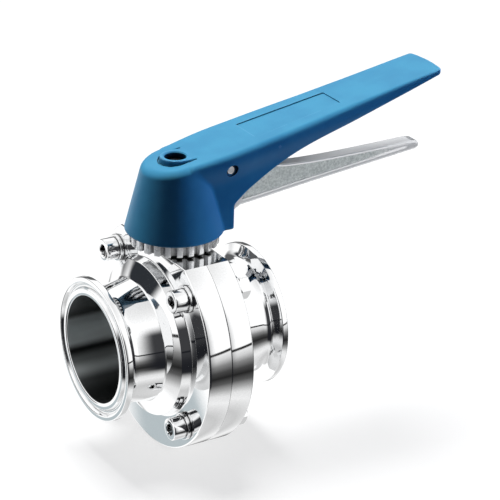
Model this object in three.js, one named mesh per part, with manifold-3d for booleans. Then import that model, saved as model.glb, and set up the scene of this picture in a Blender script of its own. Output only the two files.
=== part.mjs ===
// Two-inch hygienic butterfly valve: two bolted body halves with clamp ferrules, a disc with its
// own stem in a rubber seat, and a moulded handle whose squeeze trigger locks into a toothed ring.
// Millimetres, +Z up along the stem, +X along the pipe from the inlet ferrule to the outlet one.
// Every piece is drawn about the crossing of the pipe and stem axes. The whole valve is then moved
// so that the frame's origin is on the inlet ferrule's face, at the lowest point of its tube size.
import * as THREE from "three";
import { mergeVertices } from "three/addons/utils/BufferGeometryUtils.js";
import Module from "manifold-3d";

const wasm = await Module();
wasm.setup();

// ---------------------------------------------------------------- driving dimensions

// pipe connection: clamp ferrules on two-inch tube
const TUBE_R = 25.4;
const BORE_R = 23.9;
const FACE_X = 40; // half of the face-to-face length
const FERRULE_R = 32;
const RIM = 2.85; // thickness of the ferrule's edge
const RIM_TAPER = Math.tan(THREE.MathUtils.degToRad(20));
const GROOVE = { r: 28.15, half: 1.4, deep: 1.5 };

// body halves
const BODY_R = 50.8;
const HALF = 11; // thickness of one half's flange
const TOP_FLAT_Z = 42.5;
const NECK = { rootX: 31.5, rootR: 25.7, endX: 19.6, endR: 27.6 };
const HUB = { x: 15.4, r: 34.8, faceR: 36.1 };
const BOLT_OFFSET = 30.4; // the four bolts stand at plus and minus this in y and in z

// seat and disc
const SEAT = { r: 31.2, half: 7.6 }; // groove for the seat in the two halves
const DISC = { r: 23.5, edge: 1.6, centre: 4.4 };
const STEM_R = 5.5;
const STEM_END_Z = 45;
const SQUARE = { side: 7.6, bottom: 50, top: 70.5 };
const BUSH = { r: 8, bottom: 33.6, top: 42.3 };
const CORD = 1.6; // thickness of the stem rings

// toothed index ring
const RING = { r: 19.6, rootR: 16.7, bottom: 42.6, teethBottom: 43.3, top: 49.8, teeth: 24, notch: 2.3 };
const RING_SCREW = { x: 5, y: 11, length: 10, holeBottom: 33 };

// handle
const CUP = { bottom: 49, r: 21.8, shoulderZ: 75.3, shoulderR: 15.4, liner: 19.95, wall: 2.6 };
const BOSS_R = 9.5; // round the square drive
const HANDLE_SCREW_LENGTH = 14;
const TOP = { z: 81.6, slope: 0.175 }; // top face of the handle over the stem, and its rise
const PAD = { z: 82.7, r: 6.7, length: 8, holeR: 4.75 };
const WEB = { bottom: 71, top: 74 }; // between the square drive and the screw's recess
const TIP_X = 130.4;
const CHEEK_X = 22.2; // where the cheeks beside the trigger end
const PIN = { x: 19.5, z: 77.4, r: 2, half: 14.2 };

// trigger
const LEVER_HALF = 3.75;
const WEB_HALF = 2.7; // sides of the lever between its thick edges
const LEVER_HUB_R = 4.2;
const TOOTH = { half: 0.9, tipX: 17, backX: 22.6, bottom: 43.9 };

// fasteners: metric socket-head screws, washers and nuts
const M4 = { r: 2, headR: 3.5, headH: 4, socket: 3 };
const M5 = { r: 2.5, headR: 4.25, headH: 5, socket: 4 };
const M6 = { r: 3, headR: 5, headH: 6, socket: 5 };
const M6_WASHER = { r: 6, hole: 3.2, thick: 1.6 };
const M6_NUT = { flats: 10, thick: 5 };
const BODY_BOLT_LENGTH = 32;
const M5_WASHER = { r: 4.4, hole: 2.7, thick: 1 };
const THREAD_GAP = 0.15; // between a thread's radius and its hole
const GAP = 0.05; // between stacked pieces

// facets of round pieces
const FINE = 44;
const ROUND = 28;
const SMALL = 16;

// ---------------------------------------------------------------- colours

const steel = (roughness) => new THREE.MeshStandardMaterial({ color: 0xd4d7da, metalness: 1, roughness });
const polishedSteel = steel(0.08);
const satinSteel = steel(0.35);
const castSteel = new THREE.MeshStandardMaterial({ color: 0xa9adb0, metalness: 0.9, roughness: 0.5 });
const bluePlastic = new THREE.MeshStandardMaterial({ color: 0x1f6fb2, metalness: 0, roughness: 0.42 });
const whiteSeat = new THREE.MeshStandardMaterial({ color: 0xe8e6df, metalness: 0, roughness: 0.6 });
const blackRubber = new THREE.MeshStandardMaterial({ color: 0x151515, metalness: 0, roughness: 0.8 });
const bearingPlastic = new THREE.MeshStandardMaterial({ color: 0xd9d2bd, metalness: 0, roughness: 0.55 });

// ---------------------------------------------------------------- helpers

const MERGE = 1e-4;
const BEYOND = 60; // how far a cutting tool runs past what it cuts

// A closed geometry as a solid that can be joined and cut.
function solid(geometry) {
  const bare = geometry.clone();
  bare.deleteAttribute("normal");
  bare.deleteAttribute("uv");
  const merged = mergeVertices(bare, MERGE);
  const corners = merged.index.array;
  const triVerts = [];
  for (let i = 0; i < corners.length; i += 3) {
    const [a, b, c] = corners.slice(i, i + 3);
    if (a !== b && b !== c && c !== a) triVerts.push(a, b, c);
  }
  return new wasm.Manifold(
    new wasm.Mesh({
      numProp: 3,
      vertProperties: merged.attributes.position.array,
      triVerts: new Uint32Array(triVerts),
    }),
  );
}

function geometryOf(shape) {
  const mesh = shape.getMesh();
  const geometry = new THREE.BufferGeometry();
  geometry.setAttribute("position", new THREE.BufferAttribute(mesh.vertProperties, mesh.numProp));
  geometry.setIndex(new THREE.BufferAttribute(mesh.triVerts, 1));
  geometry.computeVertexNormals();
  return geometry;
}

function named(name, shape, material) {
  const mesh = new THREE.Mesh(geometryOf(shape), material);
  mesh.name = name;
  return mesh;
}

const join = (first, ...others) => others.reduce((a, b) => a.add(b), first);
const cut = (first, ...others) => others.reduce((a, b) => a.subtract(b), first);

// Outlines are lists of [u, v]. They are turned anticlockwise so that every solid faces out.
function anticlockwise(outline) {
  const points = outline.map(([u, v]) => new THREE.Vector2(u, v));
  return THREE.ShapeUtils.area(points) < 0 ? points.reverse() : points;
}

// A closed outline of [radius, height] turned about +Z.
function turned(outline, facets = ROUND) {
  const points = anticlockwise(outline);
  points.push(points[0].clone());
  return solid(new THREE.LatheGeometry(points, facets).rotateX(Math.PI / 2));
}

const aboutX = new THREE.Matrix4().makeRotationY(Math.PI / 2); // takes +Z to +X
const aboutY = new THREE.Matrix4().makeRotationX(-Math.PI / 2); // takes +Z to +Y
const moved = (shape, matrix) => solid(geometryOf(shape).applyMatrix4(matrix));
const shifted = (shape, x, y, z) => moved(shape, new THREE.Matrix4().makeTranslation(x, y, z));

const cylinder = (r, z0, z1, facets = ROUND) =>
  turned([[0, z0], [r, z0], [r, z1], [0, z1]], facets);
const tube = (inner, outer, z0, z1, facets = ROUND) =>
  turned([[inner, z0], [outer, z0], [outer, z1], [inner, z1]], facets);

function box(x0, x1, y0, y1, z0, z1) {
  const geometry = new THREE.BoxGeometry(x1 - x0, y1 - y0, z1 - z0);
  return solid(geometry.translate((x0 + x1) / 2, (y0 + y1) / 2, (z0 + z1) / 2));
}

// An outline of [x, y] extruded from z0 to z1.
function prism(outline, z0, z1) {
  const shape = new THREE.Shape(anticlockwise(outline));
  const geometry = new THREE.ExtrudeGeometry(shape, { depth: z1 - z0, bevelEnabled: false });
  return solid(geometry.translate(0, 0, z0));
}

// An outline of [x, z] extruded from -half to +half in y.
function plate(outline, half) {
  const flat = prism(outline.map(([x, z]) => [x, -z]), -half, half);
  return moved(flat, aboutY);
}

// The same number of [y, z] points at each station along x, skinned and capped.
function loft(stations) {
  const positions = [];
  const index = [];
  const count = stations[0].points.length;
  stations.forEach(({ x, points }) => points.forEach(([y, z]) => positions.push(x, y, z)));
  for (let s = 0; s + 1 < stations.length; s++) {
    for (let i = 0; i < count; i++) {
      const a = s * count + i;
      const b = s * count + ((i + 1) % count);
      index.push(a, a + count, b, b, a + count, b + count);
    }
  }
  const cap = (points) =>
    THREE.ShapeUtils.triangulateShape(points.map(([y, z]) => new THREE.Vector2(y, z)), []);
  const last = (stations.length - 1) * count;
  cap(stations[0].points).forEach(([a, b, c]) => index.push(a, c, b));
  cap(stations.at(-1).points).forEach(([a, b, c]) => index.push(last + a, last + b, last + c));
  const geometry = new THREE.BufferGeometry();
  geometry.setAttribute("position", new THREE.Float32BufferAttribute(positions, 3));
  geometry.setIndex(index);
  const made = solid(geometry);
  if (made.volume() > 0) return made;
  geometry.scale(1, -1, 1); // sections are symmetric in y, so this only turns the faces round
  return solid(geometry);
}

function hexagon(flats) {
  const r = flats / Math.sqrt(3);
  const angles = Array.from({ length: 6 }, (_, i) => (i * Math.PI) / 3);
  return angles.map((angle) => [r * Math.cos(angle), r * Math.sin(angle)]);
}

// Straight lines between [x, value] knots.
function along(knots, x) {
  const next = knots.findIndex(([knot]) => knot >= x);
  if (next === 0) return knots[0][1];
  if (next < 0) return knots.at(-1)[1];
  const [x0, v0] = knots[next - 1];
  const [x1, v1] = knots[next];
  return THREE.MathUtils.mapLinear(x, x0, x1, v0, v1);
}

// A socket-head cap screw along +Z: the underside of its head is at z = 0, its shank below that.
function capScrew(size, length) {
  const chamfer = 0.1 * size.headR;
  const head = turned([
    [0, 0],
    [size.headR, 0],
    [size.headR, size.headH - chamfer],
    [size.headR - chamfer, size.headH],
    [0, size.headH],
  ], SMALL);
  const shank = cylinder(size.r, -length, 0.1, SMALL);
  const socket = prism(hexagon(size.socket), 0.45 * size.headH, size.headH + 1);
  return cut(join(head, shank), socket);
}

const plainWasher = ({ r, hole, thick }) => tube(hole, r, 0, thick, SMALL);

// ---------------------------------------------------------------- body

// Half of the body, as [radius, distance from the seam] along the pipe.
function halfOutline() {
  const rimBack = FACE_X - RIM;
  const taperEnd = 28.9;
  const taperX = rimBack - (FERRULE_R - taperEnd) * RIM_TAPER;
  return [
    [BORE_R, FACE_X],
    [GROOVE.r - GROOVE.half, FACE_X],
    [GROOVE.r - 0.6, FACE_X - GROOVE.deep],
    [GROOVE.r + 0.6, FACE_X - GROOVE.deep],
    [GROOVE.r + GROOVE.half, FACE_X],
    [FERRULE_R - 0.4, FACE_X],
    [FERRULE_R, FACE_X - 0.4],
    [FERRULE_R, rimBack],
    [taperEnd, taperX],
    [27.2, taperX - 1.1],
    [26.1, taperX - 2.5],
    [NECK.rootR, NECK.rootX],
    [NECK.endR, NECK.endX],
    [NECK.endR + 0.8, NECK.endX - 0.7],
    [HUB.r, HUB.x],
    [HUB.r + 0.3, HUB.x - 0.4],
    [HUB.faceR, HALF],
    [BODY_R - 0.6, HALF],
    [BODY_R, HALF - 0.6],
    [BODY_R, 0],
    [SEAT.r, 0],
    [SEAT.r, SEAT.half],
    [BORE_R, SEAT.half],
  ];
}

function bodyHalf(side) {
  const stemBore = BUSH.r + 0.15;
  const holes = boltPlaces().map(({ y, z }) => shifted(cylinderX(M6.r + 0.3, -BEYOND, BEYOND), 0, y, z));
  const screwHole = cylinder(M4.r + THREAD_GAP, RING_SCREW.holeBottom, BEYOND, SMALL);
  const ringScrewHoles = [1, -1].map((s) => shifted(screwHole, s * RING_SCREW.x, -s * RING_SCREW.y, 0));
  const half = side > 0 ? halfOutline() : halfOutline().map(([r, x]) => [r, -x]);
  return cut(
    moved(turned(half, FINE), aboutX),
    box(-BEYOND, BEYOND, -BEYOND, BEYOND, TOP_FLAT_Z, 2 * BEYOND),
    cylinder(stemBore, SEAT.r - 2, BEYOND),
    cylinder(stemBore, -STEM_END_Z - 0.6, -SEAT.r + 2),
    ...holes,
    ...ringScrewHoles,
  );
}

const cylinderX = (r, x0, x1, facets = SMALL) => moved(cylinder(r, x0, x1, facets), aboutX);

const boltPlaces = () =>
  [[-1, 1], [1, 1], [1, -1], [-1, -1]].map(([y, z]) => ({ y: y * BOLT_OFFSET, z: z * BOLT_OFFSET }));

// The bolts enter from the inlet side, with a washer under each head and each nut.
function bodyFasteners() {
  const towardsInlet = new THREE.Matrix4().makeRotationY(-Math.PI / 2);
  const bolt = moved(capScrew(M6, BODY_BOLT_LENGTH), towardsInlet);
  const washer = moved(plainWasher(M6_WASHER), towardsInlet);
  const blank = prism(hexagon(M6_NUT.flats), 0, M6_NUT.thick);
  const flatOnTop = new THREE.Matrix4().makeRotationZ(Math.PI / 6);
  const nut = moved(cut(moved(blank, flatOnTop), cylinder(M6.r + THREAD_GAP, -1, BEYOND, SMALL)), aboutX);
  const group = new THREE.Group();
  boltPlaces().forEach(({ y, z }, i) => {
    const pieces = [
      [named(`body_bolt_${i + 1}`, bolt, satinSteel), -HALF - M6_WASHER.thick - 2 * GAP],
      [named(`bolt_washer_${i + 1}`, washer, satinSteel), -HALF - GAP],
      [named(`nut_washer_${i + 1}`, washer, satinSteel), HALF + M6_WASHER.thick + GAP],
      [named(`body_nut_${i + 1}`, nut, satinSteel), HALF + M6_WASHER.thick + 2 * GAP],
    ];
    pieces.forEach(([mesh, x]) => {
      mesh.position.set(x, y, z);
      group.add(mesh);
    });
  });
  return group;
}

// ---------------------------------------------------------------- seat, bearings and seals

function seatSeal() {
  const half = SEAT.half - 0.1;
  const r = SEAT.r - 0.25;
  const inner = BORE_R - 0.1;
  const ring = moved(turned([[inner, -half], [r, -half], [r, half], [inner, half]], FINE), aboutX);
  return cut(ring, cylinder(STEM_R + 0.12, -BEYOND, BEYOND));
}

const stemBush = () => tube(STEM_R + 0.12, BUSH.r, BUSH.bottom, BUSH.top);

function stemRing() {
  const middle = STEM_R + 0.1 + CORD / 2;
  const z = (SEAT.r + BUSH.bottom) / 2;
  const cord = hexagon((CORD * Math.sqrt(3)) / 2).map(([u, v]) => [middle + u, z + v]);
  return turned(cord, SMALL);
}

const upsideDown = (shape) => moved(shape, new THREE.Matrix4().makeRotationX(Math.PI));

// ---------------------------------------------------------------- disc with its stem

// A lens-shaped disc that lies along the pipe when the valve is open.
function disc() {
  const rim = DISC.r - 1.2;
  const lens = [
    [0, DISC.centre],
    [8, DISC.centre - 0.35],
    [16, DISC.edge + 1.05],
    [rim, DISC.edge],
    [DISC.r - 0.3, DISC.edge - 0.6],
    [DISC.r, 0.4],
  ];
  const other = lens.map(([r, y]) => [r, -y]).reverse();
  const s = SQUARE.side / 2;
  return cut(
    join(
      moved(turned([...lens, ...other], ROUND), aboutY),
      cylinder(STEM_R, -STEM_END_Z, SQUARE.bottom),
      box(-s, s, -s, s, SQUARE.bottom - 0.5, SQUARE.top),
    ),
    cylinder(M5.r + 0.12, SQUARE.bottom + 3, BEYOND * 2, SMALL),
  );
}

// ---------------------------------------------------------------- index ring

function indexRing() {
  const { r, rootR, bottom, teethBottom, top, teeth, notch } = RING;
  const blank = turned([
    [STEM_R + 1, bottom],
    [rootR - 1.4, bottom],
    [rootR, teethBottom],
    [r - 0.6, teethBottom],
    [r, teethBottom + 0.6],
    [r, top],
    [STEM_R + 1, top],
  ], FINE);
  const slot = box(rootR, r + 2, -notch / 2, notch / 2, teethBottom - 1, top + 1);
  const slots = Array.from({ length: teeth }, (_, i) =>
    moved(slot, new THREE.Matrix4().makeRotationZ((i * 2 * Math.PI) / teeth)),
  );
  const well = join(
    cylinder(M4.r + 0.2, bottom - 1, top + 1, SMALL),
    cylinder(M4.headR + 0.2, top - M4.headH - 0.2, top + 1, SMALL),
  );
  const wells = [1, -1].map((s) => shifted(well, s * RING_SCREW.x, -s * RING_SCREW.y, 0));
  return cut(blank, ...slots, ...wells);
}

function ringScrews() {
  const group = new THREE.Group();
  [1, -1].forEach((s, i) => {
    const screw = named(`ring_screw_${i + 1}`, capScrew(M4, RING_SCREW.length), satinSteel);
    screw.position.set(s * RING_SCREW.x, -s * RING_SCREW.y, RING.top - M4.headH - 0.15);
    group.add(screw);
  });
  return group;
}

// ---------------------------------------------------------------- handle

const topAt = (x) => TOP.z + TOP.slope * x;

// Half of the handle's width at its top face.
const WIDTH = [[0, 14.1], [8, 15.3], [20, 16.3], [45, 15.9], [70, 14.9], [97, 13.6], [122, 12.7],
  [127.5, 11.4], [TIP_X, 7]];

// Lower edge of the side walls.
const EDGE = [[0, CUP.bottom], [CHEEK_X, CUP.bottom], [CHEEK_X + 0.2, 60.6], [25, 63], [34, 68.9], [54, 79],
  [85, 88.4], [105, 94.5], [TIP_X, 102.2]];

const EDGE_ROUND = 3; // rounding of the top face's long edges
const DRAFT = { inset: 3, from: 3, to: 15 }; // the side walls stand in between these depths

// How far the side wall stands in from the top face's edge at a depth below that face.
const draft = (depth) => DRAFT.inset * THREE.MathUtils.smoothstep(depth, DRAFT.from, DRAFT.to);

// One cross-section of the handle's outside, or of its hollow when inset by the wall's thickness.
function handleSection(x, inset, bottom) {
  const w = along(WIDTH, x) - inset;
  const top = topAt(x) - inset;
  const side = [0.25, 1, EDGE_ROUND, 6.5, 10, DRAFT.to].map((depth) => {
    const crowded = 0.05 * (DRAFT.to + 0.5 - depth); // keeps the points in order where the bar is thin
    const z = Math.max(top - depth, bottom + crowded);
    const short = Math.max(0, EDGE_ROUND - depth);
    const round = EDGE_ROUND - Math.sqrt(EDGE_ROUND ** 2 - short ** 2);
    return [w - round - draft(depth), z];
  });
  const foot = [w - draft(top - bottom), bottom];
  const right = [...side, foot];
  return [...right, ...right.map(([y, z]) => [-y, z]).reverse()];
}

const handleStations = (xs, inset, bottomAt) =>
  xs.map((x) => ({ x, points: handleSection(x, inset, bottomAt(x)) }));

function handleOutside() {
  const cup = turned([
    [0, CUP.bottom],
    [CUP.r - 0.8, CUP.bottom],
    [CUP.r, CUP.bottom + 0.9],
    [CUP.shoulderR, CUP.shoulderZ],
    [CUP.shoulderR - 0.8, CUP.shoulderZ + 1.9],
    [CUP.shoulderR - 2.2, CUP.shoulderZ + 3.2],
    [CUP.shoulderR - 4.2, CUP.shoulderZ + 4.2],
    [0, CUP.shoulderZ + 9],
  ], FINE);
  const above = plate([
    [-BEYOND, topAt(-BEYOND)],
    [BEYOND, topAt(BEYOND)],
    [BEYOND, 2 * BEYOND],
    [-BEYOND, 2 * BEYOND],
  ], BEYOND);
  const xs = [0, 8, 20, CHEEK_X, CHEEK_X + 0.2, 25, 34, 45, 54, 70, 85, 97, 105, 122, 127.5, TIP_X];
  const bar = loft(handleStations(xs, 0, (x) => along(EDGE, x)));
  const pad = join(
    cylinder(PAD.r, WEB.top, PAD.z),
    box(0, PAD.length, -PAD.r, PAD.r, WEB.top, PAD.z),
  );
  return join(cut(cup, above), bar, pad);
}

function handleHollow() {
  const inside = CUP.wall;
  const cupHollow = cut(
    turned([
      [0, CUP.bottom - 1],
      [CUP.liner, CUP.bottom - 1],
      [CUP.liner, RING.top + 0.5],
      [CUP.r - inside - 0.6, RING.top + 1.4],
      [CUP.shoulderR - inside, CUP.shoulderZ - 1],
      [0, CUP.shoulderZ - 1],
    ], FINE),
    cylinder(BOSS_R, RING.top + 0.5, BEYOND * 2),
  );
  const past = CHEEK_X + 0.5;
  const through = 4; // how far the hollow runs past the lower edge
  const xs = [BOSS_R + 2.5, 20, past, past + 0.2, 25, 34, 45, 54, 70, 85, 97, 105, 122, TIP_X - 4];
  const barHollow = loft(handleStations(xs, inside, (x) => along(EDGE, x > past ? x : 0) - through));
  return join(cupHollow, barHollow);
}

// Bosses on the insides of the cheeks keep the trigger in the middle of its pin. The one on the
// +Y side is shorter, because the spring's coil stands there.
function pinBosses() {
  const inWall = PIN.half - 0.6;
  const near = moved(cylinder(LEVER_HUB_R, -inWall, -LEVER_HALF - 0.35, SMALL), aboutY);
  const far = moved(cylinder(2.9, inWall - 2.8, inWall, SMALL), aboutY);
  return join(near, far);
}

function handleBody() {
  const s = SQUARE.side / 2 + 0.2;
  const pinHole = moved(cylinder(PIN.r + 0.1, -BEYOND, BEYOND, SMALL), aboutY);
  return cut(
    join(cut(handleOutside(), handleHollow()), shifted(pinBosses(), PIN.x, 0, PIN.z)),
    box(-s, s, -s, s, CUP.bottom, WEB.bottom),
    cylinder(M5.r + 0.3, WEB.bottom - 1, WEB.top + 1, SMALL),
    cylinder(PAD.holeR, WEB.top, BEYOND * 2),
    shifted(pinHole, PIN.x, 0, PIN.z),
  );
}

// ---------------------------------------------------------------- trigger, about its pin

const aboutPin = (outline) => outline.map(([x, z]) => [x - PIN.x, z - PIN.z]);

// Side view of the lever: its hub round the pin, its heel over the ring and its long finger bar.
const LEVER_TOP = [[50.5, 70.2], [61, 69.1], [77, 68.4], [98, 68.2], [121.6, 68.3]];
const LEVER_TIP = [[124.2, 67.7], [125.2, 66.4], [124.9, 64.8], [123.4, 64]];
const LEVER_BOTTOM = [[88, 60.6], [61.4, 58], [31, 54.8], [28.8, 53.5]];
const LEVER_RECESS = [[36, 72.4], [50.5, 68.9], [61, 67.8], [77, 67.1], [118, 67], [118, 66.2], [88, 63.3],
  [61.4, 60.7], [33, 57.8]];

function lever() {
  const hubTop = [[PIN.x, PIN.z + LEVER_HUB_R], [27, 79.6], [38, 74]];
  const heel = [[26, 51.4], [TOOTH.backX, 50.4], [19.2, 50.4], [17.4, 62], [PIN.x - LEVER_HUB_R, PIN.z]];
  const outline = aboutPin([...hubTop, ...LEVER_TOP, ...LEVER_TIP, ...LEVER_BOTTOM, ...heel]);
  const tooth = aboutPin([[TOOTH.tipX, TOOTH.bottom], [TOOTH.backX, TOOTH.bottom], [TOOTH.backX + 0.6, 53],
    [19.5, 53], [19.2, 49.9], [TOOTH.tipX, 49.6]]);
  const hub = moved(cylinder(LEVER_HUB_R, -LEVER_HALF, LEVER_HALF, SMALL), aboutY);
  const recess = plate(aboutPin(LEVER_RECESS), LEVER_HALF - WEB_HALF);
  return cut(
    join(plate(outline, LEVER_HALF), hub, plate(tooth, TOOTH.half)),
    shifted(recess, 0, LEVER_HALF, 0),
    shifted(recess, 0, -LEVER_HALF, 0),
    moved(cylinder(PIN.r + 0.1, -BEYOND, BEYOND, SMALL), aboutY),
  );
}

// A torsion spring: its coil stands round the pin, one leg under the handle's roof and one beside
// the lever.
const SPRING = { coilR: 3.7, wireR: 0.55, turns: 2.743, from: -17.5, width: 3.1, roofLeg: 4.5, leverLeg: 12 };

class SpringCurve extends THREE.Curve {
  getPoint(t) {
    const legShare = 0.16; // the part of the curve's parameter in each leg
    const u = THREE.MathUtils.clamp((t - legShare) / (1 - 2 * legShare), 0, 1);
    const angle = THREE.MathUtils.degToRad(SPRING.from - u * SPRING.turns * 360);
    const y = LEVER_HALF + 1 + SPRING.width * u;
    const point = new THREE.Vector3(SPRING.coilR * Math.cos(angle), y, SPRING.coilR * Math.sin(angle));
    const backwards = new THREE.Vector3(-Math.sin(angle), 0, Math.cos(angle));
    if (t < legShare) return point.addScaledVector(backwards, ((legShare - t) / legShare) * SPRING.roofLeg);
    if (t <= 1 - legShare) return point;
    return point.addScaledVector(backwards, ((1 - legShare - t) / legShare) * SPRING.leverLeg);
  }
}

function triggerSpring() {
  const wire = new THREE.Shape();
  wire.absarc(0, 0, SPRING.wireR, 0, 2 * Math.PI);
  const geometry = new THREE.ExtrudeGeometry(wire, {
    curveSegments: 3,
    steps: 48,
    extrudePath: new SpringCurve(),
  });
  return solid(geometry);
}

// ---------------------------------------------------------------- assembly

const valve = new THREE.Group();
valve.position.set(FACE_X, 0, TUBE_R);
valve.add(
  named("body_half_inlet", bodyHalf(-1), polishedSteel),
  named("body_half_outlet", bodyHalf(1), polishedSteel),
  named("seat_seal", seatSeal(), whiteSeat),
  named("stem_bush_upper", stemBush(), bearingPlastic),
  named("stem_bush_lower", upsideDown(stemBush()), bearingPlastic),
  named("stem_ring_upper", stemRing(), blackRubber),
  named("stem_ring_lower", upsideDown(stemRing()), blackRubber),
  named("index_ring", indexRing(), satinSteel),
  ringScrews(),
  bodyFasteners(),
);

const rotor = new THREE.Group(); // everything that turns with the stem
const handleScrew = named("handle_screw", capScrew(M5, HANDLE_SCREW_LENGTH), satinSteel);
handleScrew.position.z = WEB.top + M5_WASHER.thick + 2 * GAP;
const handleWasher = named("handle_screw_washer", plainWasher(M5_WASHER), satinSteel);
handleWasher.position.z = WEB.top + GAP;
const pinPlace = new THREE.Group();
pinPlace.position.set(PIN.x, 0, PIN.z);
pinPlace.add(
  named("trigger_pin", moved(cylinder(PIN.r, -PIN.half, PIN.half, SMALL), aboutY), satinSteel),
  named("trigger_spring", triggerSpring(), satinSteel),
  named("trigger_lever", lever(), castSteel),
);
rotor.add(
  named("disc_with_stem", disc(), polishedSteel),
  named("handle_body", handleBody(), bluePlastic),
  handleScrew,
  handleWasher,
  pinPlace,
);
valve.add(rotor);

const root = new THREE.Group();
root.add(valve);

export default root;
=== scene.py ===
"""A two-inch hygienic butterfly valve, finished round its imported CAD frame.

Shapes are drawn in millimetres about the crossing of the pipe and stem axes, with +X along the pipe
and +Z up the stem, and are moved into the frame's metres when they are placed.
"""

import math

import bmesh
import bpy
import numpy as np
from mathutils import Matrix, Vector


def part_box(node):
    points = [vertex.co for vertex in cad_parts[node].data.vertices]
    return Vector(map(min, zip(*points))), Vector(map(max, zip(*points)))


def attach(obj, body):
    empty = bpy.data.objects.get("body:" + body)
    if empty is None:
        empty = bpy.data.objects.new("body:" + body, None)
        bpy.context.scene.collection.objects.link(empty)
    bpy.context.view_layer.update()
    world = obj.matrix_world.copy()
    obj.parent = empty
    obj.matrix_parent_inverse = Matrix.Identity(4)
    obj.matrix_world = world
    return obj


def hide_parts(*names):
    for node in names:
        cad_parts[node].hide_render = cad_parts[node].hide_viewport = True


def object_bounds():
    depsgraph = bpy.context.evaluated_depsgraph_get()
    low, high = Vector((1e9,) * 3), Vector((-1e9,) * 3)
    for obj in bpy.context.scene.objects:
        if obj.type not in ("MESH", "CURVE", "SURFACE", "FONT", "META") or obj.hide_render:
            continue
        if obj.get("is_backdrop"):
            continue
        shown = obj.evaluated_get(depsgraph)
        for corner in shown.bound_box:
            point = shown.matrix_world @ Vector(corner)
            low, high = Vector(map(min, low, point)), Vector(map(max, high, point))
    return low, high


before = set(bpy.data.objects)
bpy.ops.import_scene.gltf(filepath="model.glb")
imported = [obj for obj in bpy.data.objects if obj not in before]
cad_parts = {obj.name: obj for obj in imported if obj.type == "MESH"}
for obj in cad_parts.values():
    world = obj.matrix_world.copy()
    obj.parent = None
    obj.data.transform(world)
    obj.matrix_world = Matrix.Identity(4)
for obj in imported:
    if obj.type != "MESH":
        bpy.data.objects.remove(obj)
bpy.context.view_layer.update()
scene = bpy.context.scene

# ---------------------------------------------------------------- places, from the frame

MM = 0.001


def middle(node):
    low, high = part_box(node)
    return (low + high) / 2


CROSSING = Vector((middle("index_ring").x, middle("index_ring").y, middle("seat_seal").z))
TO_ROW = Matrix.Translation(CROSSING) @ Matrix.Scale(MM, 4)


def span(node):
    """Lowest and highest corner of a CAD node, in millimetres from the crossing."""
    low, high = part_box(node)
    return (low - CROSSING) / MM, (high - CROSSING) / MM


def centre(node):
    low, high = span(node)
    return (low + high) / 2


BODY_LOW, BODY_HIGH = span("body_half_inlet")
RING_LOW, RING_HIGH = span("index_ring")
HANDLE_LOW, HANDLE_HIGH = span("handle_body")
PIN_LOW, PIN_HIGH = span("trigger_pin")

# ---------------------------------------------------------------- sizes

BODY_R = -BODY_LOW.z
FACE_X = -BODY_LOW.x
TOP_FLAT_Z = BODY_HIGH.z
HALF = 11.0  # thickness of one half's flange
BORE_R = 23.9
FERRULE_R = 32.0
RIM = 2.85
GROOVE_R = 28.15
HUB_R = 34.8
SEAT_R = 31.2
SEAT_HALF = 7.6
STEM_R = 5.5
BUSH_R = 8.0
STEM_PLAY = 0.12  # gap round the stem in its bushes and seat
LOWER_BORE_BOTTOM = -45.6  # closed end of the stem's bore in the body
RING_SCREW_BOTTOM = 33.0  # closed end of the index ring's screw holes in the body
BEYOND = 60.0  # further from the pipe axis than any face a cutter has to pass
BOLT_THREAD = 14.0
BOLT_TURN = 17.0  # degrees each bolt is turned past the one before

RING_R = RING_HIGH.x
RING_ROOT_R = 16.7
TEETH = 24
TEETH_BOTTOM = RING_LOW.z + 0.7

CUP_BOTTOM = HANDLE_LOW.z
CUP_R = HANDLE_HIGH.y
CUP_SLOPE = 0.2433  # radius lost per millimetre of height
LINER_R = 19.95
WALL = 2.6
TOP_Z = 81.6
TOP_SLOPE = 0.175
EDGE_ROUND = ((70.0, 124.0), (2.7, 1.0))  # rounding of the top's edges, by place along the handle
TIP_X = HANDLE_HIGH.x
TIP_ROUND = 2.4  # corners of the tip, seen from above
TIP_ARC = 62.0  # radius of the tip's end, seen from above
PAD_Z = 82.7
PAD_R = 6.7
PAD_HOLE_R = 4.75
ABOVE_PAD = 90.0  # clear above the pad, where the cutter of its hole ends
ACROSS = 40.0  # from the stem to beyond the handle's sides
MOAT_DEPTH = 0.6
WEB_BOTTOM = 71.0
WEB_TOP = 74.0
BOSS_R = 9.5
CHEEK_X = 22.2
SQUARE = 7.6
SQUARE_BOTTOM = 50.0
DISC_R = 23.5

PIN = centre("trigger_pin")
PIN_R = (PIN_HIGH.x - PIN_LOW.x) / 2
PIN_HALF = (PIN_HIGH.y - PIN_LOW.y) / 2
LEVER_HALF = 3.75
LEVER_WEB_HALF = 2.7
LEVER_HUB_R = 4.2
PIN_BOSS_R = (4.2, 2.9)  # of the handle's bosses round the pin, at its two ends

HEAD_R = {"M4": 3.5, "M5": 4.25, "M6": 5.0}
SHANK_R = {"M4": 2.0, "M5": 2.5, "M6": 3.0}
HEAD_HEIGHT = {"M4": 4.0, "M5": 5.0, "M6": 6.0}
SOCKET = {"M4": 3.0, "M5": 4.0, "M6": 5.0}
PITCH = {"M4": 0.7, "M5": 0.8, "M6": 1.0}

FINE = 224  # facets round a large turned piece
ROUND = 96
SMOOTH_UP_TO = math.radians(32)

# ---------------------------------------------------------------- mesh helpers


def mesh_object(name, vertices, faces):
    mesh = bpy.data.meshes.new(name)
    mesh.from_pydata([tuple(v) for v in vertices], [], [tuple(f) for f in faces])
    welded = bmesh.new()
    welded.from_mesh(mesh)
    bmesh.ops.remove_doubles(welded, verts=welded.verts, dist=1e-5)
    bmesh.ops.recalc_face_normals(welded, faces=welded.faces)
    welded.to_mesh(mesh)
    welded.free()
    made = bpy.data.objects.new(name, mesh)
    scene.collection.objects.link(made)
    return made


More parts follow.
